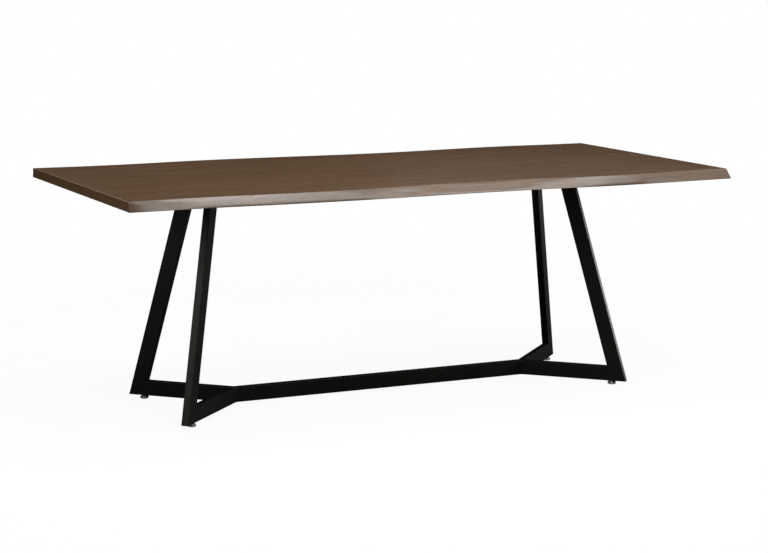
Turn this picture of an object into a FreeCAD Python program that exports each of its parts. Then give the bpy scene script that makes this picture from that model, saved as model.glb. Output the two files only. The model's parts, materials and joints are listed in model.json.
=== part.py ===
import FreeCAD, Part
import math
import os

# A live-edge dining table: a wood top glued up from five boards, on a welded steel trestle base
# that stands on four levelling glides.
# X runs along the table, Y across it and Z up. The origin is on the floor under the table's middle.
# The front is towards -Y.

# Sizes of the whole table
top_length = 2133.6
top_width = 1058.0
table_height = 770.0
top_thickness = 31.75

# Wood top. The outer boards keep the wavy edge of the tree, and the inner ones are parallel strips.
inner_board_width = 211.0
inner_board_count = 3
wave_depth = 60.0

# Stations along half the length, and how far in each line lies there as a share of wave_depth.
# The top face ends at the crest lines, and the edge slopes out and down to the skirt lines.
station_shares = (-1.0, -0.82, -0.70, -0.55, -0.38, -0.25, -0.05, 0.17, 0.36, 0.53, 0.66, 0.80, 1.0)
front_crest_shares = (0.36, 0.60, 0.57, 0.38, 0.30, 0.35, 0.70, 0.98, 0.70, 0.38, 0.42, 0.64, 0.75)
front_skirt_shares = (0.25, 0.29, 0.27, 0.08, 0.04, 0.01, 0.17, 0.27, 0.18, 0.02, 0.02, 0.11, 0.26)
rear_crest_shares = (0.15, 0.45, 0.48, 0.28, 0.20, 0.30, 0.57, 0.82, 0.66, 0.40, 0.27, 0.43, 0.58)
rear_skirt_shares = (0.06, 0.17, 0.18, 0.05, 0.01, 0.04, 0.17, 0.28, 0.20, 0.07, 0.02, 0.12, 0.25)

# Section of the sloping edge: depth below the top face as a share of the thickness, and the way
# out from crest to skirt as a share of the slope's width.
slope_depth_shares = (0.0, 0.05, 0.16, 0.50, 0.90, 1.0)
slope_reach_shares = (0.0, 0.075, 0.22, 0.59, 0.985, 1.0)

# Steel tube of the base, deep side upright
tube_depth = 50.8
tube_width = 25.4
tube_wall = 2.0
tube_corner_radius = 2.0

# Layout of the base. The stretcher forks at each end into two rails, and a leg rises from the
# outer end of each rail and leans in over it. The top overhangs each fork by fork_overhang.
fork_overhang = 520.8
rail_reach = 382.5
rail_angle = 45.0
leg_lean = 15.75

# Cross plates on the leg tops, with slots that let the wood move
plate_length = 480.0
plate_width = 100.0
plate_thickness = 6.0
plate_corner_radius = 8.0
slot_travel = 8.0
slot_clearance = 0.5
screw_pitch_across = 200.0
screw_pitch_along = 60.0

# Hexagon screws, washers and threaded inserts that hold the top
screw_radius = 4.0
screw_length = 20.0
screw_head_flats = 13.0
screw_head_height = 5.3
washer_radius = 10.0
washer_thickness = 1.6
insert_radius = 6.25
insert_length = 16.0
insert_hole_spare = 2.0

# Levelling glides: a round foot over a plastic pad, and a threaded stud that turns in the foot
glide_inset = 52.0
glide_travel = 12.0
foot_radius = 14.5
foot_top_height = 9.0
foot_shoulder = 1.6
foot_base_height = 0.8
foot_base_radius = 12.0
foot_base_rise = 3.2
foot_roof = 2.5
pad_radius = 11.0
pad_height = 2.5
pad_clearance = 0.2
stud_radius = 4.0
stud_spare_thread = 12.0
stud_hex_flats = 13.0
stud_hex_height = 3.3
stud_hex_gap = 0.4
stud_neck_radius = 3.0
stud_head_radius = 5.0
stud_head_height = 2.9
head_room = 0.5
nut_flats = 13.0
nut_height = 6.5
stud_hole_clearance = 0.6

# Fits
running_clearance = 0.3
neck_clearance = 0.08
thread_clearance = 0.05
press_clearance = 0.02

# How far cutting tools run past what they cut
overrun = 5.0

# Worked out from the sizes above
half_length = top_length / 2
half_width = top_width / 2
underside = table_height - top_thickness
plate_underside = underside - plate_thickness
fork_offset = half_length - fork_overhang
stud_hex_low = foot_top_height + running_clearance
stud_hex_high = stud_hex_low + stud_hex_height
frame_lift = stud_hex_high + stud_hex_gap
frame_top = frame_lift + tube_depth
lean_slope = math.tan(math.radians(leg_lean))
leg_run = tube_depth / math.cos(math.radians(leg_lean))
foot_corner_turn = math.radians((90.0 - leg_lean) / 2)
fork_bisector = (180.0 - rail_angle) / 2

# Each corner: its name, the way it lies along X and across Y
corners = (
    ("left_front", -1, -1),
    ("left_rear", -1, 1),
    ("right_front", 1, -1),
    ("right_rear", 1, 1),
)


def point(x, y, z):
    return FreeCAD.Vector(x, y, z)


def face_of(points):
    return Part.Face(Part.makePolygon(points + [points[0]]))


def plan_prism(outline, low, high):
    """A solid with a plan outline, from one height up to another."""
    return face_of([point(x, y, low) for x, y in outline]).extrude(point(0, 0, high - low))


def side_prism(outline, width):
    """A solid with an outline in the upright plane of a rail, centred on that plane."""
    return face_of([point(s, -width / 2, z) for s, z in outline]).extrude(point(0, width, 0))


def cylinder(radius, low, high, x=0.0, y=0.0):
    return Part.makeCylinder(radius, high - low, point(x, y, low))


def hexagon(flats, low, high, x=0.0, y=0.0):
    corner = flats / 2 / math.cos(math.radians(30))
    turns = [math.radians(60 * n) for n in range(6)]
    return plan_prism([(x + corner * math.cos(a), y + corner * math.sin(a)) for a in turns], low, high)


def round_long_edges(solid, direction, radius):
    """Round the long straight edges that run in one direction."""
    picked = []
    for edge in solid.Edges:
        ends = [v.Point for v in edge.Vertexes]
        if len(ends) != 2:
            continue
        run = ends[1].sub(ends[0])
        if run.Length > tube_depth and abs(run.normalize().dot(direction)) > 0.9999:
            picked.append(edge)
    return solid.makeFillet(radius, picked)


def at_corner(solid, along, across):
    """Turn a shape from the rail's own frame, fork at the origin and rail along +X, to its corner."""
    turn = math.degrees(math.atan2(across * math.sin(math.radians(rail_angle)),
                                   along * math.cos(math.radians(rail_angle))))
    placed = solid.copy()
    placed.rotate(point(0, 0, 0), point(0, 0, 1), turn)
    placed.translate(point(along * fork_offset, 0, 0))
    return placed


def save(name, solids):
    shape = solids[0] if len(solids) == 1 else Part.makeCompound(solids)
    shape.exportStep(f"parts/{name}.step")
    sound = all(solid.isValid() for solid in solids)
    print(f"{name}: {len(solids)} solids, {shape.Volume / 1000:.1f} cm3, sound {sound}")


# Wood top

def edge_curve(side, crest_shares, skirt_shares, reach):
    """One wavy line of an outer board, between its crest and its skirt."""
    points = []
    for station, crest, skirt in zip(station_shares, crest_shares, skirt_shares):
        inset = crest + (skirt - crest) * reach
        points.append((station * half_length, side * (half_width - wave_depth * inset)))
    return points


def slab_section(height, reach):
    """The closed outline of the top at one height."""
    front = [point(x, y, height) for x, y in edge_curve(-1, front_crest_shares, front_skirt_shares, reach)]
    rear = [point(x, y, height) for x, y in edge_curve(1, rear_crest_shares, rear_skirt_shares, reach)]
    front_line = Part.BSplineCurve()
    front_line.interpolate(front)
    rear_line = Part.BSplineCurve()
    rear_line.interpolate(rear[::-1])
    return Part.Wire([
        front_line.toShape(),
        Part.makeLine(front[-1], rear[-1]),
        rear_line.toShape(),
        Part.makeLine(rear[0], front[0]),
    ])


def make_slab():
    sections = []
    for depth, reach in zip(slope_depth_shares, slope_reach_shares):
        sections.append(slab_section(table_height - depth * top_thickness, reach))
    return Part.makeLoft(sections[::-1], True, False)


def plate_centre(along):
    """Where a cross plate is centred: over the middle of its two leg tops."""
    middle = rail_reach - lean_slope * (plate_underside - frame_lift) - leg_run / 2
    return along * (fork_offset + middle * math.cos(math.radians(rail_angle)))


def screw_places(along):
    places = []
    for row in (-1, 1):
        for station in (-1, 0, 1):
            places.append((plate_centre(along) + row * screw_pitch_along / 2, station * screw_pitch_across))
    return places


def make_boards():
    slab = make_slab()
    hole_radius = insert_radius + press_clearance
    for along in (-1, 1):
        for x, y in screw_places(along):
            slab = slab.cut(cylinder(hole_radius, underside - overrun,
                                     underside + insert_length + insert_hole_spare, x, y))
    first = -inner_board_width * inner_board_count / 2
    lines = [-half_width - overrun]
    lines += [first + inner_board_width * n for n in range(inner_board_count + 1)]
    lines += [half_width + overrun]
    boards = []
    for low, high in zip(lines[:-1], lines[1:]):
        reach = half_length + overrun
        strip = plan_prism([(-reach, low), (reach, low), (reach, high), (-reach, high)],
                           underside - overrun, table_height + overrun)
        boards.append(slab.common(strip).Solids[0])
    return boards


# Steel base

def rail_plan(width, hand):
    """Plan outline of a rail, with the pointed end where it meets the other rail and the stretcher."""
    half = width / 2
    other_rail = half / math.tan(math.radians(rail_angle))
    stretcher = half / math.tan(math.radians(fork_bisector))
    far = rail_reach + overrun
    return [(0, 0), (other_rail, -hand * half), (far, -hand * half), (far, hand * half),
            (stretcher, hand * half)]


def rail_side(inset):
    """Side outline of a rail, cut along the mitre of its foot corner, inset by a wall."""
    low = frame_lift + inset
    high = frame_top - inset
    mitre = 1 / math.tan(foot_corner_turn)
    return [(-overrun, low), (rail_reach - inset * mitre, low),
            (rail_reach - (tube_depth - inset) * mitre, high), (-overrun, high)]


def make_rail(hand):
    outer = plan_prism(rail_plan(tube_width, hand), frame_lift, frame_top)
    outer = outer.common(side_prism(rail_side(0.0), tube_width))
    outer = round_long_edges(outer, point(1, 0, 0), tube_corner_radius)
    inner_width = tube_width - 2 * tube_wall
    hollow = plan_prism(rail_plan(inner_width, hand), frame_lift + tube_wall, frame_top - tube_wall)
    hollow = hollow.common(side_prism(rail_side(tube_wall), inner_width))
    stud_hole = cylinder(stud_radius + stud_hole_clearance, frame_lift - overrun,
                         frame_lift + tube_wall + overrun, rail_reach - glide_inset)
    return outer.cut(hollow).cut(stud_hole)


def leg_side(inset):
    """Side outline of a leg from the mitre of its foot corner to the plate, inset by a wall."""
    mitre = 1 / math.tan(foot_corner_turn)
    across = inset / math.cos(math.radians(leg_lean))
    top = plate_underside
    outer_top = rail_reach - lean_slope * (top - frame_lift) - across
    inner_top = rail_reach - lean_slope * (top - frame_lift) - leg_run + across
    return [(rail_reach - inset * mitre, frame_lift + inset), (outer_top, top), (inner_top, top),
            (rail_reach - (tube_depth - inset) * mitre, frame_top - inset)]


def make_leg():
    rise = point(-math.sin(math.radians(leg_lean)), 0, math.cos(math.radians(leg_lean)))
    outer = round_long_edges(side_prism(leg_side(0.0), tube_width), rise, tube_corner_radius)
    return outer.cut(side_prism(leg_side(tube_wall), tube_width - 2 * tube_wall))


def make_stretcher():
    def plan(width):
        point_out = width / 2 / math.tan(math.radians(fork_bisector))
        shoulder = fork_offset - point_out
        half = width / 2
        return [(-fork_offset, 0), (-shoulder, -half), (shoulder, -half), (fork_offset, 0),
                (shoulder, half), (-shoulder, half)]
    outer = plan_prism(plan(tube_width), frame_lift, frame_top)
    outer = round_long_edges(outer, point(1, 0, 0), tube_corner_radius)
    inner_width = tube_width - 2 * tube_wall
    return outer.cut(plan_prism(plan(inner_width), frame_lift + tube_wall, frame_top - tube_wall))


def make_plate(along):
    x0 = plate_centre(along)
    half_x = plate_width / 2
    half_y = plate_length / 2
    plate = plan_prism([(x0 - half_x, -half_y), (x0 + half_x, -half_y), (x0 + half_x, half_y),
                        (x0 - half_x, half_y)], plate_underside, underside)
    upright = [edge for edge in plate.Edges if abs(edge.tangentAt(0).z) > 0.9]
    plate = plate.makeFillet(plate_corner_radius, upright)
    half_slot = screw_radius + slot_clearance
    low = plate_underside - overrun
    high = underside + overrun
    for x, y in screw_places(along):
        ends = slot_travel / 2
        slot = plan_prism([(x - half_slot, y - ends), (x + half_slot, y - ends), (x + half_slot, y + ends),
                           (x - half_slot, y + ends)], low, high)
        for end in (-ends, ends):
            slot = slot.fuse(cylinder(half_slot, low, high, x, y + end))
        plate = plate.cut(slot)
    return plate


# Fasteners of the top

def make_screw(x, y):
    seat = plate_underside - washer_thickness
    head = hexagon(screw_head_flats, seat - screw_head_height, seat, x, y)
    return head.fuse(cylinder(screw_radius, seat, seat + screw_length, x, y)).removeSplitter()


def make_washer(x, y):
    low = plate_underside - washer_thickness
    disc = cylinder(washer_radius, low, plate_underside, x, y)
    return disc.cut(cylinder(screw_radius + slot_clearance, low - overrun, plate_underside + overrun, x, y))


def make_insert(x, y):
    body = cylinder(insert_radius, underside, underside + insert_length, x, y)
    return body.cut(cylinder(screw_radius + thread_clearance, underside - overrun,
                             underside + insert_length + overrun, x, y))


# Levelling glides, made on the Z axis with the floor at zero

def turned(profile):
    """Turn a closed profile of radius and height about the Z axis."""
    return Part.Face(Part.Wire(profile)).revolve(point(0, 0, 0), point(0, 0, 1), 360)


def make_foot():
    """A foot that rounds out above its base and at its shoulder, hollow for the pad and the stud."""
    bore = stud_neck_radius + neck_clearance
    recess = pad_radius + pad_clearance
    cavity = stud_head_radius + head_room
    roof = foot_top_height - foot_roof
    shoulder_low = foot_top_height - foot_shoulder
    side_low = foot_base_height + foot_base_rise
    path = [(foot_radius, shoulder_low), (foot_radius, side_low), (foot_base_radius, foot_base_height),
            (recess, foot_base_height), (recess, pad_height), (cavity, pad_height), (cavity, roof),
            (bore, roof), (bore, foot_top_height), (foot_radius - foot_shoulder, foot_top_height)]
    corners_3d = [point(r, 0, z) for r, z in path]
    edges = [Part.makeLine(a, b) for a, b in zip(corners_3d[:-1], corners_3d[1:])]
    diagonal_share = math.sqrt(2) / 2
    base_middle = point(foot_base_radius + (foot_radius - foot_base_radius) * diagonal_share, 0,
                        side_low - foot_base_rise * diagonal_share)
    edges[1] = Part.Arc(corners_3d[1], base_middle, corners_3d[2]).toShape()
    shoulder_middle = point(foot_radius - foot_shoulder + foot_shoulder * diagonal_share, 0,
                            shoulder_low + foot_shoulder * diagonal_share)
    edges.append(Part.Arc(corners_3d[-1], shoulder_middle, corners_3d[0]).toShape())
    return turned(edges)


def make_pad():
    return cylinder(pad_radius, 0.0, pad_height)


def make_stud():
    roof = foot_top_height - foot_roof
    head_top = roof - running_clearance
    stud_top = frame_lift + tube_wall + nut_height + glide_travel + stud_spare_thread
    stud = cylinder(stud_head_radius, head_top - stud_head_height, head_top)
    stud = stud.fuse(cylinder(stud_neck_radius, head_top, stud_hex_low))
    stud = stud.fuse(hexagon(stud_hex_flats, stud_hex_low, stud_hex_high))
    stud = stud.fuse(cylinder(stud_radius, stud_hex_high, stud_top))
    return stud.removeSplitter()


def make_nut():
    low = frame_lift + tube_wall
    body = hexagon(nut_flats, low, low + nut_height)
    return body.cut(cylinder(stud_radius + thread_clearance, low - overrun, low + nut_height + overrun))


def main():
    os.makedirs("parts", exist_ok=True)

    board_names = ["top_board_front", "top_board_front_inner", "top_board_centre",
                   "top_board_rear_inner", "top_board_rear"]
    for name, board in zip(board_names, make_boards()):
        save(name, [board])

    save("stretcher", [make_stretcher()])
    leg = make_leg()
    foot, pad, stud, nut = make_foot(), make_pad(), make_stud(), make_nut()
    nuts = []
    for name, along, across in corners:
        save(f"rail_{name}", [at_corner(make_rail(along * across), along, across)])
        save(f"leg_{name}", [at_corner(leg, along, across)])
        for kind, piece in (("foot", foot), ("pad", pad), ("stud", stud)):
            moved = piece.translated(point(rail_reach - glide_inset, 0, 0))
            save(f"glide_{kind}_{name}", [at_corner(moved, along, across)])
        nuts.append(at_corner(nut.translated(point(rail_reach - glide_inset, 0, 0)), along, across))
    save("glide_nuts", nuts)

    save("top_plate_left", [make_plate(-1)])
    save("top_plate_right", [make_plate(1)])
    places = screw_places(-1) + screw_places(1)
    save("top_screws", [make_screw(x, y) for x, y in places])
    save("top_washers", [make_washer(x, y) for x, y in places])
    save("top_inserts", [make_insert(x, y) for x, y in places])


main()
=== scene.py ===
import json
import math

import bpy
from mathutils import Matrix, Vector, noise
from mathutils.bvhtree import BVHTree

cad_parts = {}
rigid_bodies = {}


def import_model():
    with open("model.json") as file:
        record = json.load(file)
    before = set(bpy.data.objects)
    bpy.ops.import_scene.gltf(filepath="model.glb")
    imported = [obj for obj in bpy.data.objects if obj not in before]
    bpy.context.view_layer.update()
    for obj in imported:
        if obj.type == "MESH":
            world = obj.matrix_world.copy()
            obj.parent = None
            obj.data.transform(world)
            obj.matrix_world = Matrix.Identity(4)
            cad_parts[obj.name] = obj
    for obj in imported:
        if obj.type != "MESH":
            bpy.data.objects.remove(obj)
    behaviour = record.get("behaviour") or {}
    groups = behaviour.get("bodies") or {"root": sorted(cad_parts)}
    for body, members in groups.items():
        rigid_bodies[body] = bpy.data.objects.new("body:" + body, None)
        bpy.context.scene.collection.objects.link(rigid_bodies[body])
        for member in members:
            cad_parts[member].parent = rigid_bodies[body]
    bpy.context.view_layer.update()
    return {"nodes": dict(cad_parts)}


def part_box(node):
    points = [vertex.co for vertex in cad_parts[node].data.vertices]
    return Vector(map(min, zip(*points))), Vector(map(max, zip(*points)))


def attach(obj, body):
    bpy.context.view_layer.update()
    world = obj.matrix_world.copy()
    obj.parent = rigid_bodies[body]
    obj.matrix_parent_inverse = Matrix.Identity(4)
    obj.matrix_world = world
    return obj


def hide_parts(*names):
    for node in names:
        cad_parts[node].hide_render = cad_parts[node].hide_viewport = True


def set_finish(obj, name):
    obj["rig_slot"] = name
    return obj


# A live-edge dining table: a top glued up from five boards on a black steel trestle base with
# four levelling glides. Metres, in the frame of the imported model: X runs along the table, the
# front is towards -Y, Z is up and the floor is at zero.

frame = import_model()

MM = 0.001
TABLE = "table"
CORNERS = ("left_front", "left_rear", "right_front", "right_rear")
BOARDS = ("top_board_front", "top_board_front_inner", "top_board_centre",
          "top_board_rear_inner", "top_board_rear")

# Wood top. The live edge is read at some depths below the top face, as shares of the thickness.
# From one of them on its slope is straightened, by a share that changes along the table.
STATION_COUNT = 200
SMOOTHING_PASSES = 30
EDGE_DEPTH_SHARES = (0.003, 0.045, 0.10, 0.18, 0.28, 0.40, 0.52, 0.64, 0.76, 0.86, 0.95, 0.997)
STRAIGHT_FROM = 0.28
STRAIGHTNESS = ((-0.93, 1.0), (-0.78, 0.0), (-0.31, 0.0), (-0.21, 1.0), (-0.17, 1.0), (-0.08, 0.0),
                (0.24, 0.0), (0.34, 0.8), (0.47, 0.8), (0.52, 0.0), (0.67, 0.0), (0.73, 1.0))
CREST_EASE = 0.8 * MM
SKIRT_EASE = 1.2 * MM
BEND_STEPS = 5
SUPPORT_WIDTH = 12.0 * MM
END_ROUNDING = 2.0 * MM
END_STEPS = 5
RIPPLE = 0.25 * MM
RIPPLE_LENGTH = 160.0 * MM
RIPPLES_DOWN_THE_EDGE = 1.6
PROBE_REACH = 0.1

# Welds
BEAD_RADIUS = 2.6 * MM
BEAD_PITCH = 5.0 * MM
BEAD_SIDES = 10
BEAD_STEPS_PER_PITCH = 4
BEAD_RIPPLE = 0.12
BEAD_END_SHARE = 0.4
LEG_TOP_BAND = 0.1 * MM
SHOULDER_HALF_ANGLE = math.radians(67.5)
STEEP = 0.9
ASIDE_WHEN_STEEP = Vector((1, 0, 0))
ASIDE_WHEN_LEVEL = Vector((0.3, 0.2, 1.0))

# Turned and threaded parts
TURN_SIDES = 48
THREAD_PITCH = 1.25 * MM
THREAD_DEPTH = 0.68 * MM
THREAD_RADIUS = 4.0 * MM
THREAD_STEPS = 6
HEXAGON_FLATS = 13.0 * MM
CHAMFER_SHARE = 0.94
CHAMFER_SLOPE = math.tan(math.radians(30))
SHARP_ANGLE = math.radians(35)

# Glides
FOOT_BASE_INSET = 2.5 * MM
FOOT_BASE_RISE = 3.2 * MM
FOOT_SHOULDER = 1.6 * MM
FOOT_STEP = 0.3 * MM
FOOT_LIP = 0.5 * MM
FOOT_ROOF = 2.5 * MM
FOOT_BORE = 3.1 * MM
HEAD_ROOM = 5.5 * MM
PAD_CLEARANCE = 0.2 * MM
PAD_EDGE = 0.6 * MM
PAD_EDGE_RISE = 0.12 * MM
HEAD_RADIUS = 5.0 * MM
HEAD_EDGE = 0.3 * MM
NECK_CLEARANCE = 0.1 * MM
NUT_FACE_GAP = 0.3 * MM
NUT_FACE_HEIGHT = 3.3 * MM

# Screws and washers of the top
SCREW_ROW_OFFSET = 30.0 * MM
SCREW_PITCH = 200.0 * MM
SCREW_TIP_EASE = 0.5 * MM
WASHER_HOLE = 4.5 * MM
WASHER_RIM = 10.0 * MM
WASHER_EDGE = 0.25 * MM

# Camera, as fitted to the straight edges of the table
CAMERA_PLACE = (-3.0444, -6.5508, 1.5634)
CAMERA_YAW = 24.987
CAMERA_PITCH = 9.152
CAMERA_LENS = 100.27
SENSOR_WIDTH = 36.0


# Meshes

def add_piece(name, verts, faces, body, slot, replaced=()):
    """A smooth-shaded mesh that rides on a body, with hard edges where its faces turn sharply."""
    mesh = bpy.data.meshes.new(name)
    mesh.from_pydata([tuple(v) for v in verts], [], faces)
    mesh.validate()
    mesh.shade_smooth()
    mesh.set_sharp_from_angle(angle=SHARP_ANGLE)
    piece = bpy.data.objects.new(name, mesh)
    bpy.context.scene.collection.objects.link(piece)
    weighted = piece.modifiers.new("weighted_normals", "WEIGHTED_NORMAL")
    weighted.keep_sharp = True
    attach(piece, body)
    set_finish(piece, slot)
    if replaced:
        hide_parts(*replaced)
    return piece


def ring_faces(ring_count, side_count, closed=False):
    """Quads between rings of vertices that follow one another."""
    faces = []
    for ring in range(ring_count if closed else ring_count - 1):
        low = ring * side_count
        high = (ring + 1) % ring_count * side_count
        for side in range(side_count):
            after = (side + 1) % side_count
            faces.append((low + side, low + after, high + after, high + side))
    return faces


def capped(ring_count, side_count):
    """The faces of a tube of rings, closed at both ends."""
    last = (ring_count - 1) * side_count
    faces = ring_faces(ring_count, side_count)
    faces.append(tuple(range(side_count))[::-1])
    faces.append(tuple(last + side for side in range(side_count)))
    return faces


def bent(before, corner, after):
    """Points of a soft bend that leaves one point, aims at the corner and reaches the other."""
    points = []
    for step in range(BEND_STEPS + 1):
        t = step / BEND_STEPS
        points.append(tuple((1 - t) ** 2 * a + 2 * t * (1 - t) * b + t * t * c
                            for a, b, c in zip(before, corner, after)))
    return points


# Wood top, built from the edge lines of the solid boards

class Slab:
    """Heights, ends and seams of the top, read from its solids."""
    def __init__(self):
        boxes = [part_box(name) for name in BOARDS]
        self.top = boxes[0][1].z
        self.under = boxes[0][0].z
        self.half_length = boxes[0][1].x
        self.thickness = self.top - self.under
        self.seams = [box[1].y for box in boxes[:-1]]


def smooth_line(line):
    """Even out the facets of a sampled line, keeping its slope at both ends."""
    for _ in range(SMOOTHING_PASSES):
        padded = [2 * line[0] - line[1]] + line + [2 * line[-1] - line[-2]]
        line = [(a + 2 * b + c) / 4 for a, b, c in zip(padded, padded[1:], padded[2:])]
    return line


def edge_lines(slab, node, side, stations):
    """How far out the live edge of a board lies, for each depth and station."""
    mesh = frame["nodes"][node].data
    tree = BVHTree.FromPolygons([v.co for v in mesh.vertices],
                                [tuple(p.vertices) for p in mesh.polygons])
    low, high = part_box(node)
    far = high.y + PROBE_REACH if side > 0 else low.y - PROBE_REACH
    lines = []
    for depth in EDGE_DEPTH_SHARES:
        height = slab.top - depth * slab.thickness
        line = []
        for x in stations:
            hit = tree.ray_cast(Vector((x, far, height)), Vector((0, -side, 0)))[0]
            line.append(side * hit.y)
        lines.append(smooth_line(line))
    return lines


def straightness(x):
    """How far the slope of the live edge at a station is straightened towards its lower arris."""
    for (before, share), (after, next_share) in zip(STRAIGHTNESS, STRAIGHTNESS[1:]):
        if x < after:
            t = max(0.0, (x - before) / (after - before))
            return share + (next_share - share) * t * t * (3 - 2 * t)
    return STRAIGHTNESS[-1][1]


def live_edge(slab, lines, index, x, seed):
    """The outward points of a live edge at one station, from the top face round to the underside."""
    outs = [line[index] for line in lines]
    crest, skirt = outs[0], outs[-1]
    bend = outs[EDGE_DEPTH_SHARES.index(STRAIGHT_FROM)]
    straight = straightness(x)
    slope = []
    for depth, out in zip(EDGE_DEPTH_SHARES[1:-1], outs[1:-1]):
        if depth > STRAIGHT_FROM:
            line = bend + (skirt - bend) * (depth - STRAIGHT_FROM) / (1 - STRAIGHT_FROM)
            out += straight * (line - out)
        wave = noise.noise(Vector((x / RIPPLE_LENGTH, RIPPLES_DOWN_THE_EDGE * depth, seed)))
        slope.append((out - RIPPLE * (1 + wave) / 2, slab.top - depth * slab.thickness))
    points = [(crest - SUPPORT_WIDTH, slab.top)]
    points += bent((crest - CREST_EASE, slab.top), (crest, slab.top), slope[0])
    points += slope[1:-1]
    points += bent(slope[-1], (skirt, slab.under), (skirt - SKIRT_EASE, slab.under))
    points.append((skirt - SUPPORT_WIDTH, slab.under))
    return points


def drawn_in(points, amount, seam_count, slab):
    """Draw a section in by an amount, square to its outline. Seam points only move up or down."""
    moved = []
    for n, (out, z) in enumerate(points):
        if n < seam_count or n >= len(points) - seam_count:
            moved.append((out, z - amount if z > slab.under + slab.thickness / 2 else z + amount))
            continue
        before, after = points[n - 1], points[n + 1]
        run = Vector((after[0] - before[0], after[1] - before[1])).normalized()
        moved.append((out + run.y * amount, z - run.x * amount))
    return moved


def end_places():
    """Distances from the end of the slab, and how far the section is drawn in there."""
    places = []
    for step in range(END_STEPS + 1):
        turn = math.pi / 2 * step / END_STEPS
        places.append((END_ROUNDING * (1 - math.sin(turn)), END_ROUNDING * (1 - math.cos(turn))))
    return places[::-1]


def stations_of(slab):
    """Station places along the slab with their index among the even ones and their draw-in."""
    reach = slab.half_length - END_ROUNDING
    even = [-reach + 2 * reach * n / STATION_COUNT for n in range(STATION_COUNT + 1)]
    ends = end_places()
    left = [(-slab.half_length + distance, 0, amount) for distance, amount in ends]
    right = [(slab.half_length - distance, STATION_COUNT, amount) for distance, amount in ends[::-1]]
    middle = [(x, n, 0.0) for n, x in enumerate(even)]
    return even, left + middle[1:-1] + right


def make_board(slab, number, even, stations):
    """One board of the top, swept through its stations. The outer ones carry a live edge."""
    name = BOARDS[number]
    outer = number in (0, len(BOARDS) - 1)
    side = 1 if number == len(BOARDS) - 1 else -1
    if outer:
        seam = abs(slab.seams[0] if side < 0 else slab.seams[-1])
        lines = edge_lines(slab, name, side, even)
    else:
        low, high = slab.seams[number - 1], slab.seams[number]
    verts = []
    for x, index, amount in stations:
        if outer:
            edge = live_edge(slab, lines, index, x, number)
            section = drawn_in([(seam, slab.top)] + edge + [(seam, slab.under)], amount, 1, slab)
            section = [(side * out, z) for out, z in section]
        else:
            section = [(high, slab.top), (low, slab.top), (low, slab.under), (high, slab.under)]
            section = drawn_in(section, amount, 2, slab)
        if side > 0:
            section = section[::-1]
        verts += [(x, y, z) for y, z in section]
    count = len(section)
    faces = capped(len(stations), count)
    return add_piece(f"wood_{name}", verts, faces, TABLE, "stained_wood", (name,))


# Weld beads

def make_bead(name, points, closed=False):
    """A rippled weld bead along a path, half sunk in the steel on both sides."""
    path = []
    ends = list(zip(points, points[1:])) + ([(points[-1], points[0])] if closed else [])
    for start, stop in ends:
        steps = max(2, round((stop - start).length / BEAD_PITCH * BEAD_STEPS_PER_PITCH))
        path += [start.lerp(stop, n / steps) for n in range(steps)]
    if not closed:
        path.append(points[-1])
    verts = []
    travelled = 0.0
    for n, place in enumerate(path):
        before = path[n - 1] if closed or n else place
        after = path[(n + 1) % len(path)] if closed or n < len(path) - 1 else place
        along = (after - before).normalized()
        steep = abs(along.z) > STEEP
        across = along.cross(ASIDE_WHEN_STEEP if steep else ASIDE_WHEN_LEVEL).normalized()
        up = across.cross(along)
        travelled += (place - before).length
        ripple = 1 - BEAD_RIPPLE + BEAD_RIPPLE * math.cos(2 * math.pi * travelled / BEAD_PITCH)
        radius = BEAD_RADIUS * ripple
        if not closed and n in (0, len(path) - 1):
            radius *= BEAD_END_SHARE
        for side in range(BEAD_SIDES):
            turn = 2 * math.pi * side / BEAD_SIDES
            verts.append(place + radius * (math.cos(turn) * across + math.sin(turn) * up))
    if closed:
        faces = ring_faces(len(path), BEAD_SIDES, closed=True)
    else:
        faces = capped(len(path), BEAD_SIDES)
    return add_piece(name, verts, faces, TABLE, "black_powder_coat")


def leg_top_corners(corner):
    """Corners of a leg's top, where it meets the cross plate."""
    mesh = frame["nodes"][f"leg_{corner}"].data
    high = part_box(f"leg_{corner}")[1].z
    top = [v.co for v in mesh.vertices if v.co.z > high - LEG_TOP_BAND]
    along = Vector((math.copysign(1, top[0].x), math.copysign(1, top[0].y), 0)).normalized()
    across = Vector((-along.y, along.x, 0))
    runs = [p.dot(along) for p in top]
    sides = [p.dot(across) for p in top]
    corners = [(min(runs), min(sides)), (max(runs), min(sides)),
               (max(runs), max(sides)), (min(runs), max(sides))]
    return [run * along + out * across + Vector((0, 0, high)) for run, out in corners]


def make_welds():
    """Beads round the leg tops, and up the crotch and both shoulders of each fork."""
    for corner in CORNERS:
        make_bead(f"weld_leg_top_{corner}", leg_top_corners(corner), closed=True)
    low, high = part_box("stretcher")
    half_tube = high.y
    inset = 2 * BEAD_RADIUS
    for name, along in (("left", -1), ("right", 1)):
        fork = along * high.x
        inner = (fork + along * half_tube * math.sqrt(2), 0)
        shoulder = fork - along * half_tube / math.tan(SHOULDER_HALF_ANGLE)
        places = (("crotch", inner), ("front", (shoulder, -half_tube)), ("rear", (shoulder, half_tube)))
        for kind, (x, y) in places:
            make_bead(f"weld_fork_{name}_{kind}",
                      [Vector((x, y, low.z + inset)), Vector((x, y, high.z - inset))])


# Turned and threaded parts

def spun(name, rings, centres, body, slot, replaced=(), closed=False):
    """A part turned about upright axes. Each ring gives radius and height for a turn in radians."""
    verts, faces = [], []
    for x, y in centres:
        first = len(verts)
        for ring in rings:
            for side in range(TURN_SIDES):
                turn = 2 * math.pi * side / TURN_SIDES
                radius, height = ring(turn) if callable(ring) else ring
                verts.append((x + radius * math.cos(turn), y + radius * math.sin(turn), height))
        if closed:
            shape = ring_faces(len(rings), TURN_SIDES, closed=True)
        else:
            shape = capped(len(rings), TURN_SIDES)
        faces += [tuple(first + v for v in face) for face in shape]
    return add_piece(name, verts, faces, body, slot, replaced)


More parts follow.
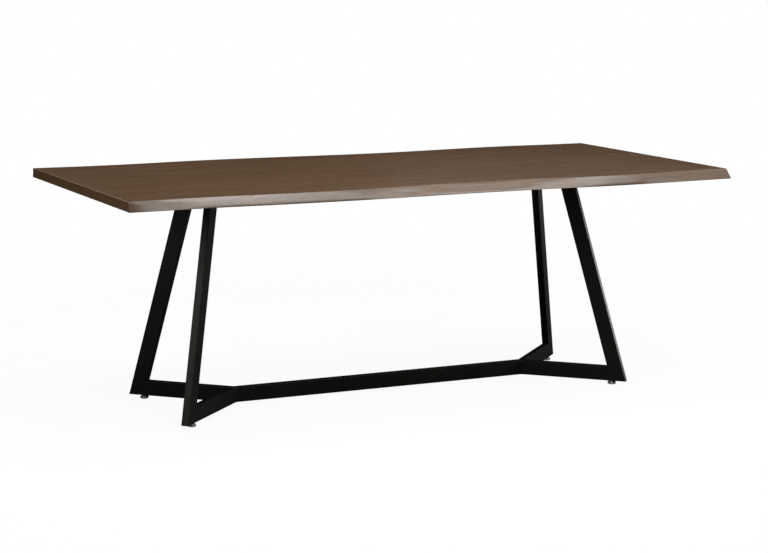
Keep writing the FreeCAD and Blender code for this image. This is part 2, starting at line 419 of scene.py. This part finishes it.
def hex_radius(flats, turn):
    """How far out the side of a hexagon lies, for a turn in radians."""
    sector = math.pi / 3
    return flats / 2 / math.cos((turn % sector) - sector / 2)


def hex_rings(flats, low, high, low_chamfer=True, high_chamfer=True):
    """Rings of a hexagon with its corners chamfered, from its low face up to its high face."""
    circle = flats / 2 * CHAMFER_SHARE

    def drop(turn):
        return (hex_radius(flats, turn) - circle) * CHAMFER_SLOPE

    rings = []
    if low_chamfer:
        rings += [(circle, low), lambda turn: (hex_radius(flats, turn), low + drop(turn))]
    else:
        rings.append(lambda turn: (hex_radius(flats, turn), low))
    if high_chamfer:
        rings += [lambda turn: (hex_radius(flats, turn), high - drop(turn)), (circle, high)]
    else:
        rings.append(lambda turn: (hex_radius(flats, turn), high))
    return rings


def thread_rings(radius, low, high):
    """Rings of a screw thread, tapered at its free end."""
    count = int((high - low) / THREAD_PITCH * THREAD_STEPS)

    def ring(height):
        def place(turn):
            phase = (height / THREAD_PITCH - turn / (2 * math.pi)) % 1
            groove = abs(2 * phase - 1)
            taper = max(0.0, 1 - (high - height) / THREAD_PITCH)
            return radius - THREAD_DEPTH * max(groove, taper), height
        return place

    return [ring(low + (high - low) * n / count) for n in range(count + 1)]


def centre_of(node):
    low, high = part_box(node)
    return (low.x + high.x) / 2, (low.y + high.y) / 2


def make_foot(corner):
    """A round foot with a rounded base and shoulder, hollow over its pad and the stud's head."""
    foot = f"glide_foot_{corner}"
    pad_low, pad_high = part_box(f"glide_pad_{corner}")
    low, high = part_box(foot)
    radius = (high.x - low.x) / 2
    wall = (pad_high.x - pad_low.x) / 2 + PAD_CLEARANCE
    roof = high.z - FOOT_ROOF
    side_low = low.z + FOOT_BASE_RISE
    step = high.z - FOOT_SHOULDER - 2 * FOOT_STEP
    inner = radius - FOOT_STEP
    rings = [(wall, pad_high.z), (wall, low.z + FOOT_LIP), (wall + FOOT_LIP / 2, low.z)]
    rings += bent((radius - FOOT_BASE_INSET, low.z), (radius, low.z), (radius, side_low))
    rings += [(radius, step - FOOT_STEP), (inner, step)]
    rings += bent((inner, high.z - FOOT_SHOULDER), (inner, high.z), (inner - FOOT_SHOULDER, high.z))
    rings += [(FOOT_BORE + FOOT_LIP, high.z), (FOOT_BORE, high.z - FOOT_LIP), (FOOT_BORE, roof),
              (HEAD_ROOM, roof), (HEAD_ROOM, pad_high.z)]
    spun(f"chrome_{foot}", rings[::-1], [centre_of(foot)], f"glide_{corner}", "bright_plating",
         (foot,), closed=True)


def make_pad(corner):
    """A plastic disc with an eased rim, which sits in the hollow of the foot."""
    pad = f"glide_pad_{corner}"
    low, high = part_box(pad)
    radius = (high.x - low.x) / 2
    rings = [(radius - 2 * PAD_EDGE, low.z), (radius - PAD_EDGE, low.z + PAD_EDGE_RISE),
             (radius, low.z + PAD_EDGE), (radius, high.z)]
    spun(f"plastic_{pad}", rings, [centre_of(f"glide_foot_{corner}")], f"glide_{corner}",
         "glide_pad_plastic", (pad,))


def make_stud(corner):
    """A stud with its riveted head in the foot, a hexagon over the foot and a thread above."""
    stud = f"glide_stud_{corner}"
    foot_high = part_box(f"glide_foot_{corner}")[1].z
    low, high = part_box(stud)
    head_top = foot_high - FOOT_ROOF - HEAD_EDGE
    neck = FOOT_BORE - NECK_CLEARANCE
    hex_low = foot_high + NUT_FACE_GAP
    hex_high = hex_low + NUT_FACE_HEIGHT
    rings = [(HEAD_RADIUS - HEAD_EDGE, low.z), (HEAD_RADIUS, low.z + HEAD_EDGE),
             (HEAD_RADIUS, head_top), (neck, head_top), (neck, hex_low)]
    rings += hex_rings(HEXAGON_FLATS, hex_low, hex_high)
    rings.append((THREAD_RADIUS, hex_high))
    rings += thread_rings(THREAD_RADIUS, hex_high + NUT_FACE_GAP, high.z)
    spun(f"threaded_{stud}", rings, [centre_of(f"glide_foot_{corner}")], f"stud_{corner}",
         "bright_plating", (stud,))


def make_fasteners():
    """Chamfered hexagon screws and round-edged washers under both cross plates."""
    centres = []
    for plate in ("top_plate_left", "top_plate_right"):
        x = centre_of(plate)[0]
        for row in (-1, 1):
            for station in (-1, 0, 1):
                centres.append((x + row * SCREW_ROW_OFFSET, station * SCREW_PITCH))
    screw_low, screw_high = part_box("top_screws")
    low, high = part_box("top_washers")
    rings = hex_rings(HEXAGON_FLATS, screw_low.z, low.z, high_chamfer=False)
    rings += [(THREAD_RADIUS, low.z), (THREAD_RADIUS, screw_high.z - SCREW_TIP_EASE),
              (THREAD_RADIUS - SCREW_TIP_EASE, screw_high.z)]
    spun("zinc_top_screws", rings, centres, TABLE, "zinc_steel", ("top_screws",))
    rings = [(WASHER_HOLE, high.z), (WASHER_HOLE, low.z + WASHER_EDGE), (WASHER_HOLE + WASHER_EDGE, low.z),
             (WASHER_RIM - WASHER_EDGE, low.z), (WASHER_RIM, low.z + WASHER_EDGE), (WASHER_RIM, high.z)]
    spun("zinc_top_washers", rings, centres, TABLE, "zinc_steel", ("top_washers",), closed=True)


# Materials

class Nodes:
    """Short ways to add nodes to a tree."""
    def __init__(self, tree):
        self.tree = tree

    def put(self, socket, value):
        if isinstance(value, bpy.types.NodeSocket):
            self.tree.links.new(value, socket)
        else:
            socket.default_value = value

    def add(self, kind, inputs=(), **settings):
        node = self.tree.nodes.new(kind)
        for name, value in settings.items():
            setattr(node, name, value)
        for key, value in dict(inputs).items():
            self.put(node.inputs[key], value)
        return node

    def math(self, operation, *values):
        return self.add("ShaderNodeMath", enumerate(values), operation=operation).outputs[0]

    def vector(self, operation, *values):
        node = self.add("ShaderNodeVectorMath", enumerate(values), operation=operation)
        return node.outputs["Value" if operation == "LENGTH" else "Vector"]

    def range(self, value, low, high, to_low=0.0, to_high=1.0):
        inputs = {"Value": value, "From Min": low, "From Max": high, "To Min": to_low, "To Max": to_high}
        return self.add("ShaderNodeMapRange", inputs, interpolation_type="SMOOTHSTEP").outputs["Result"]


class Shader(Nodes):
    """A node material with one Principled surface."""
    def __init__(self, name, metallic=0.0, specular=0.5):
        self.material = bpy.data.materials.new(name)
        self.material.use_nodes = True
        super().__init__(self.material.node_tree)
        self.surface = self.tree.nodes["Principled BSDF"]
        self.surface.inputs["Metallic"].default_value = metallic
        self.surface.inputs["Specular IOR Level"].default_value = specular
        self.place = self.add("ShaderNodeTexCoord").outputs["Object"]

    def scaled(self, scale, place=None, shift=(0, 0, 0), turn=(0, 0, 0)):
        inputs = {"Vector": place or self.place, "Scale": scale, "Location": shift, "Rotation": turn}
        return self.add("ShaderNodeMapping", inputs).outputs["Vector"]

    def noise(self, place, scale=1.0, detail=2.0, roughness=0.5):
        inputs = {"Vector": place, "Scale": scale, "Detail": detail, "Roughness": roughness}
        return self.add("ShaderNodeTexNoise", inputs).outputs["Fac"]

    def apart(self, vector):
        return self.add("ShaderNodeSeparateXYZ", {"Vector": vector}).outputs

    def ramp(self, value, stops):
        node = self.add("ShaderNodeValToRGB", {"Fac": value})
        points = node.color_ramp.elements
        while len(points) < len(stops):
            points.new(0.5)
        for point, (place, colour) in zip(points, stops):
            point.position = place
            point.color = (*colour, 1)
        return node.outputs["Color"]

    def mix(self, factor, first, second, blend="MIX"):
        inputs = {"Factor": factor, "A": first, "B": second}
        return self.add("ShaderNodeMix", inputs, data_type="RGBA", blend_type=blend).outputs["Result"]

    def stained(self, share, colour, stain):
        """A colour multiplied by a stain, by a share."""
        return self.mix(share, colour, self.mix(1.0, colour, (*stain, 1), "MULTIPLY"))

    def finish(self, colour, roughness, height, depth, strength):
        self.put(self.surface.inputs["Base Color"], colour)
        self.put(self.surface.inputs["Roughness"], roughness)
        bump = self.add("ShaderNodeBump", {"Height": height, "Strength": strength, "Distance": depth})
        self.put(self.surface.inputs["Normal"], bump.outputs["Normal"])
        return self.material


# Stain colours, as the surface reflects them, and factors on them. The factor on the live-edge slope is
# painted sheen: a cooler, greyer tint that stands in for the pale highlights there.
STAIN_DARK = (0.082, 0.047, 0.027)
STAIN_MIDDLE = (0.112, 0.066, 0.038)
STAIN_LIGHT = (0.142, 0.086, 0.051)
END_GRAIN_STAIN = (1.34, 1.26, 1.06)
# Painted sheen: the live-edge slope is tinted cooler and greyer, standing in for its pale highlights
SLOPE_SHEEN_TINT = (0.96, 1.05, 1.12)

# Grain along and across the boards, in features per metre
SWAY_SCALE = (0.9, 3.0, 3.0)
STREAK_SCALE = (1.7, 42.0, 42.0)
PATCH_SCALE = (2.4, 6.0, 6.0)
FIBRE_SCALE = (14.0, 620.0, 620.0)
PORE_SCALE = (110.0, 2100.0, 2100.0)
RING_SCALE = 240.0
SWAY = 0.09
HEART_TAPER = 0.012
HEART_HEIGHT = 0.66
BOARD_SHIFT = (1.7, 0.37, 0.11)
BOARD_TURN = math.radians(0.8)
STREAK_SHARE = 0.40
RING_SHARE = 0.26
PATCH_SHARE = 0.18
FIBRE_SHARE = 0.16
PORE_SHARE = 0.45


def wood_finish(number):
    """Dark stained hardwood under a satin coat, with grain along X. Each board has its own grain."""
    shader = Shader(f"stained_wood_{number}")
    shift = tuple(step * number for step in BOARD_SHIFT)
    place = shader.scaled((1, 1, 1), shift=shift, turn=(0, 0, BOARD_TURN * (number % 3 - 1)))

    sway = shader.noise(shader.scaled(SWAY_SCALE, place))
    bend = shader.math("MULTIPLY", shader.math("SUBTRACT", sway, 0.5), SWAY)
    along, across, up = shader.apart(place)
    across = shader.math("ADD", across, bend)
    heart = shader.add("ShaderNodeCombineXYZ", {
        "X": shader.math("MULTIPLY", along, HEART_TAPER),
        "Y": shader.math("SUBTRACT", across, shift[1]),
        "Z": shader.math("ADD", up, -HEART_HEIGHT - shift[2]),
    }).outputs["Vector"]
    radius = shader.vector("LENGTH", heart)
    rings = shader.add("ShaderNodeTexNoise", {"W": shader.math("MULTIPLY", radius, RING_SCALE),
                                              "Scale": 1.0, "Detail": 2.5, "Roughness": 0.6},
                       noise_dimensions="1D").outputs["Fac"]

    streaks = shader.noise(shader.scaled(STREAK_SCALE, place), detail=3.0, roughness=0.55)
    patches = shader.noise(shader.scaled(PATCH_SCALE, place))
    fibres = shader.noise(shader.scaled(FIBRE_SCALE, place), roughness=0.6)
    pores = shader.noise(shader.scaled(PORE_SCALE, place), detail=1.0)
    pore_mask = shader.math("MULTIPLY", shader.range(pores, 0.60, 0.70), shader.range(rings, 0.62, 0.40))

    tone = shader.math("MULTIPLY", streaks, STREAK_SHARE)
    for layer, share in ((rings, RING_SHARE), (patches, PATCH_SHARE), (fibres, FIBRE_SHARE)):
        tone = shader.math("ADD", tone, shader.math("MULTIPLY", layer, share))
    colour = shader.ramp(tone, [(0.34, STAIN_DARK), (0.50, STAIN_MIDDLE), (0.66, STAIN_LIGHT)])
    colour = shader.mix(shader.math("MULTIPLY", pore_mask, PORE_SHARE), colour, (*STAIN_DARK, 1))

    facing = shader.apart(shader.add("ShaderNodeNewGeometry").outputs["Normal"])
    edge = shader.range(shader.math("ABSOLUTE", facing["Y"]), 0.25, 0.45)
    end = shader.range(shader.math("ABSOLUTE", facing["X"]), 0.55, 0.85)
    # Painted sheen on the live-edge slope: a cooler, greyer tint that stands in for its pale highlights
    colour = shader.stained(edge, colour, SLOPE_SHEEN_TINT)
    colour = shader.stained(end, colour, END_GRAIN_STAIN)

    rough = shader.range(fibres, 0.3, 0.7, 0.22, 0.28)
    rough = shader.math("ADD", rough, shader.math("MULTIPLY", end, 0.10))
    height = shader.math("SUBTRACT", shader.math("MULTIPLY", fibres, 0.5), pore_mask)
    return shader.finish(colour, rough, height, depth=0.12 * MM, strength=0.30)


# Colours of the metals and the plastic. The powder coat has a warm sheen.
POWDER_SHEEN = (1.0, 0.95, 0.87)
POWDER_DARK = (0.0028, 0.0022, 0.0012)
POWDER_LIGHT = (0.0038, 0.0030, 0.0018)
NICKEL_DARK = (0.74, 0.74, 0.73)
NICKEL_LIGHT = (0.84, 0.84, 0.83)
ZINC_BLUE = (0.50, 0.52, 0.55)
ZINC_GREY = (0.60, 0.60, 0.58)
ZINC_YELLOW = (0.66, 0.63, 0.54)
PLASTIC_BLACK = (0.010, 0.010, 0.010)
PLASTIC_SCUFFED = (0.035, 0.034, 0.033)
BRASS_DARK = (0.50, 0.33, 0.12)
BRASS_LIGHT = (0.66, 0.46, 0.19)


def powder_coat():
    """Satin black powder coat with a fine orange peel."""
    shader = Shader("black_powder_coat_finish", specular=0.45)
    shader.put(shader.surface.inputs["Specular Tint"], (*POWDER_SHEEN, 1))
    cloud = shader.noise(shader.place, scale=7.0, detail=3.0)
    peel = shader.noise(shader.place, scale=700.0, roughness=0.45)
    colour = shader.ramp(cloud, [(0.35, POWDER_DARK), (0.65, POWDER_LIGHT)])
    rough = shader.range(cloud, 0.3, 0.7, 0.42, 0.50)
    return shader.finish(colour, rough, peel, depth=0.05 * MM, strength=0.35)


def plating():
    """Bright nickel plating with hairline wear."""
    shader = Shader("bright_plating_finish", metallic=1.0)
    wear = shader.noise(shader.scaled((600.0, 600.0, 3000.0)), detail=3.0)
    haze = shader.noise(shader.place, scale=160.0)
    colour = shader.ramp(haze, [(0.3, NICKEL_DARK), (0.7, NICKEL_LIGHT)])
    rough = shader.range(wear, 0.4, 0.75, 0.09, 0.22)
    return shader.finish(colour, rough, wear, depth=0.01 * MM, strength=0.2)


def zinc():
    """Zinc-plated steel, slightly cloudy with a faint yellow and blue cast."""
    shader = Shader("zinc_steel_finish", metallic=1.0)
    cloud = shader.noise(shader.place, scale=220.0, detail=3.0)
    grit = shader.noise(shader.place, scale=2400.0, detail=1.0)
    colour = shader.ramp(cloud, [(0.35, ZINC_BLUE), (0.55, ZINC_GREY), (0.7, ZINC_YELLOW)])
    rough = shader.range(grit, 0.3, 0.7, 0.28, 0.42)
    return shader.finish(colour, rough, grit, depth=0.02 * MM, strength=0.3)


def plastic():
    """Dull black plastic of the glide pads, scuffed where it meets the floor."""
    shader = Shader("glide_pad_finish", specular=0.4)
    scuff = shader.noise(shader.place, scale=420.0, detail=4.0)
    colour = shader.ramp(scuff, [(0.4, PLASTIC_BLACK), (0.75, PLASTIC_SCUFFED)])
    rough = shader.range(scuff, 0.3, 0.7, 0.45, 0.65)
    return shader.finish(colour, rough, scuff, depth=0.05 * MM, strength=0.3)


def brass():
    """Plain brass of the threaded inserts."""
    shader = Shader("insert_brass_finish", metallic=1.0)
    stain = shader.noise(shader.place, scale=300.0, detail=3.0)
    colour = shader.ramp(stain, [(0.35, BRASS_DARK), (0.65, BRASS_LIGHT)])
    rough = shader.range(stain, 0.3, 0.7, 0.28, 0.40)
    return shader.finish(colour, rough, stain, depth=0.02 * MM, strength=0.2)


def dress():
    """Give every shown solid and piece, apart from the boards, the finish of its slot."""
    finishes = {"black_powder_coat": powder_coat(), "bright_plating": plating(), "zinc_steel": zinc(),
                "glide_pad_plastic": plastic(), "insert_brass": brass()}
    for node in frame["nodes"].values():
        for slot in node.material_slots:
            name = slot.material.name.split(".")[0] if slot.material else ""
            if name in finishes:
                slot.material = finishes[name]
    for piece in bpy.context.scene.objects:
        if piece.type == "MESH" and "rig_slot" in piece and not piece.data.materials:
            piece.data.materials.append(finishes[piece["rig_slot"]])


# Studio

FLOOR_SIDES = 96
FLOOR_RADII = (2.0, 5.0, 12.0, 40.0)
FLOOR_HEIGHT = -0.1 * MM
FLOOR_COLOUR = 0.90
FLOOR_BOUNCE = 0.12
SHADOW_SHARE = 0.05
OPEN_FLOOR_NEAR = 1.6
OPEN_FLOOR_FAR = 4.0
MIRRORED_FLOOR_NEAR = 0.02
MIRRORED_FLOOR_FAR = 0.05
MIRRORED_FLOOR_SHARE = 0.12

# Softboxes: name, place, aim, width, height, radiance
MIDDLE = (0.0, 0.0, 0.7)
SOFTBOXES = (
    ("key_left", (-0.33, -2.35, 2.84), MIDDLE, 0.90, 0.65, 6.9),
    ("key_middle", (0.0, -1.88, 3.29), MIDDLE, 0.90, 0.65, 7.9),
    ("key_front", (0.0, -2.25, 3.30), MIDDLE, 0.60, 0.60, 1.9),
    ("key_right", (1.40, -1.92, 2.84), MIDDLE, 0.90, 0.65, 4.7),
    ("key_far_right", (2.02, -1.26, 2.84), MIDDLE, 0.90, 0.65, 2.7),
    ("low_left", (0.24, -2.76, 2.30), MIDDLE, 0.90, 0.65, 4.6),
    ("low_right", (1.39, -2.40, 2.30), MIDDLE, 0.90, 0.65, 5.4),
    ("edge_low", (0.02, -1.25, 1.72), (-0.38, -0.5, 0.76), 0.40, 0.40, 4.9),
    ("edge_high", (-0.26, -1.05, 2.15), (-0.66, -0.5, 0.76), 0.40, 0.40, 4.9),
    ("overhead", (0.0, -0.11, 3.90), MIDDLE, 1.60, 1.60, 7.6),
    ("overhead_left", (-1.70, -0.40, 3.40), MIDDLE, 1.00, 1.00, 12.9),
    ("overhead_right_front", (1.70, -1.50, 3.30), MIDDLE, 0.60, 0.60, 5.0),
    ("overhead_right", (1.75, -0.90, 3.30), MIDDLE, 0.60, 0.60, 7.7),
    ("overhead_right_rear", (1.60, 0.05, 3.30), MIDDLE, 0.60, 0.60, 2.9),
    ("rear_left", (-1.20, 3.00, 1.95), MIDDLE, 1.60, 0.50, 1.5),
    ("rear_middle", (1.40, 2.10, 1.63), (0.1, -0.4, 0.77), 0.80, 0.40, 0.28),
    ("rear_right", (1.85, 1.50, 1.56), (0.5, -0.4, 0.77), 0.60, 0.40, 0.35),
    ("left_wall", (-3.10, 0.0, 1.47), MIDDLE, 1.50, 1.10, 1.35),
    ("left_front_wall", (-2.69, -1.55, 1.47), MIDDLE, 1.50, 1.10, 2.0),
    ("right_wall", (3.06, -0.82, 1.15), MIDDLE, 1.30, 1.10, 5.4),
    ("right_high", (2.38, 0.0, 2.84), MIDDLE, 1.50, 1.10, 1.0),
    ("right_low", (3.00, 1.45, 0.48), (0.9, 0.0, 0.48), 0.90, 0.50, 0.6),
)

# A narrow lamp that one leg alone reflects, and a softbox that would glare on the wood
STRIP_LAMP = ("right_near", (1.24, 0.05, 0.31), (0.76, -0.21, 0.31), 0.15, 0.62, 3.5)
STRIP_LEG = "leg_right_front"
OFF_THE_WOOD = "right_wall"


def floor_material():
    """A floor that is white with a faint shadow to the camera, and see-through from below. In
    reflections it is faintly white close to the glides, and to other rays it is dark."""
    material = bpy.data.materials.new("floor_white")
    material.use_nodes = True
    material.node_tree.nodes.clear()
    nodes = Nodes(material.node_tree)

    def diffuse(grey):
        return nodes.add("ShaderNodeBsdfDiffuse", {"Color": (grey, grey, grey, 1)}).outputs[0]

    def blend(share, first, second):
        return nodes.add("ShaderNodeMixShader", {0: share, 1: first, 2: second}).outputs[0]

    place = nodes.add("ShaderNodeTexCoord").outputs["Object"]
    white = nodes.add("ShaderNodeEmission").outputs[0]
    nothing = nodes.add("ShaderNodeBsdfTransparent").outputs[0]
    path = nodes.add("ShaderNodeLightPath").outputs
    from_below = nodes.add("ShaderNodeNewGeometry").outputs["Backfacing"]

    away = nodes.vector("LENGTH", place)
    open_share = nodes.range(away, OPEN_FLOOR_NEAR, OPEN_FLOOR_FAR, 1 - SHADOW_SHARE, 1.0)
    shown = blend(open_share, diffuse(FLOOR_COLOUR), white)
    shown = blend(from_below, shown, nothing)

    glide = (*centre_of("glide_foot_right_rear"), 0)
    from_glide = nodes.vector("SUBTRACT", nodes.vector("ABSOLUTE", place), glide)
    near_glide = nodes.range(nodes.vector("LENGTH", from_glide), MIRRORED_FLOOR_NEAR,
                             MIRRORED_FLOOR_FAR, MIRRORED_FLOOR_SHARE, 0.0)
    mirrored = nodes.math("MULTIPLY", path["Is Glossy Ray"], near_glide)
    unseen = blend(mirrored, diffuse(FLOOR_BOUNCE), white)
    nodes.add("ShaderNodeOutputMaterial", {"Surface": blend(path["Is Camera Ray"], unseen, shown)})
    return material


def make_floor():
    verts = []
    for radius in FLOOR_RADII:
        for side in range(FLOOR_SIDES):
            turn = 2 * math.pi * side / FLOOR_SIDES
            verts.append((radius * math.cos(turn), radius * math.sin(turn), FLOOR_HEIGHT))
    faces = [tuple(range(FLOOR_SIDES))]
    faces += [face[::-1] for face in ring_faces(len(FLOOR_RADII), FLOOR_SIDES)]
    mesh = bpy.data.meshes.new("floor")
    mesh.from_pydata(verts, [], faces)
    floor = bpy.data.objects.new("floor", mesh)
    bpy.context.scene.collection.objects.link(floor)
    mesh.materials.append(floor_material())


def make_world():
    """White to the camera, and black to other rays like the dark studio that the table reflects."""
    world = bpy.data.worlds.new("studio")
    bpy.context.scene.world = world
    world.use_nodes = True
    nodes = Nodes(world.node_tree)
    background = world.node_tree.nodes["Background"].inputs
    nodes.put(background["Color"], (1, 1, 1, 1))
    nodes.put(background["Strength"], nodes.add("ShaderNodeLightPath").outputs["Is Camera Ray"])


def make_softbox(name, place, aim, width, height, radiance):
    """A rectangular lamp that the camera doesn't see."""
    light = bpy.data.lights.new(name, "AREA")
    light.shape = "RECTANGLE"
    light.size = width
    light.size_y = height
    light.energy = radiance * math.pi * width * height
    lamp = bpy.data.objects.new(name, light)
    lamp.location = place
    lamp.rotation_mode = "QUATERNION"
    lamp.rotation_quaternion = (Vector(aim) - Vector(place)).to_track_quat("-Z", "Y")
    lamp.visible_camera = False
    bpy.context.scene.collection.objects.link(lamp)
    return lamp


def light_only(lamp, node):
    """Let a lamp light one solid alone."""
    receivers = bpy.data.collections.new(f"lit_by_{lamp.name}")
    receivers.objects.link(frame["nodes"][node])
    lamp.light_linking.receiver_collection = receivers


def keep_off(lamp, pieces):
    """Let a lamp light everything but some pieces."""
    spared = bpy.data.collections.new(f"not_lit_by_{lamp.name}")
    for piece in pieces:
        spared.objects.link(piece)
    for entry in spared.collection_objects:
        entry.light_linking.link_state = "EXCLUDE"
    lamp.light_linking.receiver_collection = spared


def make_camera():
    data = bpy.data.cameras.new("camera")
    data.lens = CAMERA_LENS
    data.sensor_width = SENSOR_WIDTH
    camera = bpy.data.objects.new("camera", data)
    yaw = math.radians(CAMERA_YAW)
    pitch = math.radians(CAMERA_PITCH)
    level = math.cos(pitch)
    ahead = Vector((math.sin(yaw) * level, math.cos(yaw) * level, -math.sin(pitch)))
    camera.location = CAMERA_PLACE
    camera.rotation_mode = "QUATERNION"
    camera.rotation_quaternion = ahead.to_track_quat("-Z", "Y")
    bpy.context.scene.collection.objects.link(camera)
    bpy.context.scene.camera = camera


def main():
    slab = Slab()
    even, stations = stations_of(slab)
    boards = [make_board(slab, number, even, stations) for number in range(len(BOARDS))]
    for number, board in enumerate(boards):
        board.data.materials.append(wood_finish(number))
    make_welds()
    for corner in CORNERS:
        make_foot(corner)
        make_pad(corner)
        make_stud(corner)
    make_fasteners()
    dress()
    make_floor()
    make_world()
    lamps = {softbox[0]: make_softbox(*softbox) for softbox in SOFTBOXES}
    keep_off(lamps[OFF_THE_WOOD], boards)
    light_only(make_softbox(*STRIP_LAMP), STRIP_LEG)
    make_camera()
    bpy.context.scene.view_settings.view_transform = "Standard"


main()
